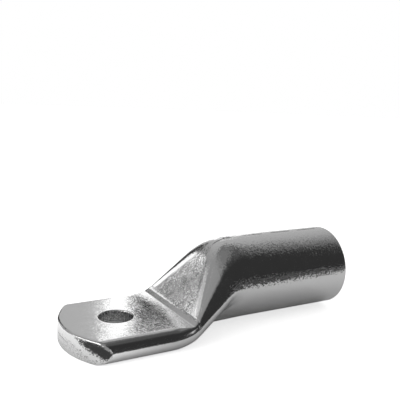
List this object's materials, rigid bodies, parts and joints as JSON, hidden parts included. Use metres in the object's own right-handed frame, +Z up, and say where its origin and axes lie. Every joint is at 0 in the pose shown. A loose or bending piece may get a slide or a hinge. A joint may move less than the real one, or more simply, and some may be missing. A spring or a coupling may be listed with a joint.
{
  "type": "cable lug",
  "caption": "Heavy tube cable lug: a round barrel that closes down a flat ramp into a flat palm with one bolt hole.",
  "frame": {"origin": "where the axis of the bolt hole meets the contact face, on the underside of the palm", "axes": "+X along the barrel from the bolt hole towards the open mouth, +Z up out of the palm along the bolt, +Y across the width"},
  "size_m": [0.1397, 0.0536, 0.0402],
  "materials": {
    "tinned_copper": "bright tin plating on copper, with a fine grain and fine die marks"
  },
  "bodies": {
    "root": {"lug_body": "tinned_copper"}
  },
  "joints": []
}
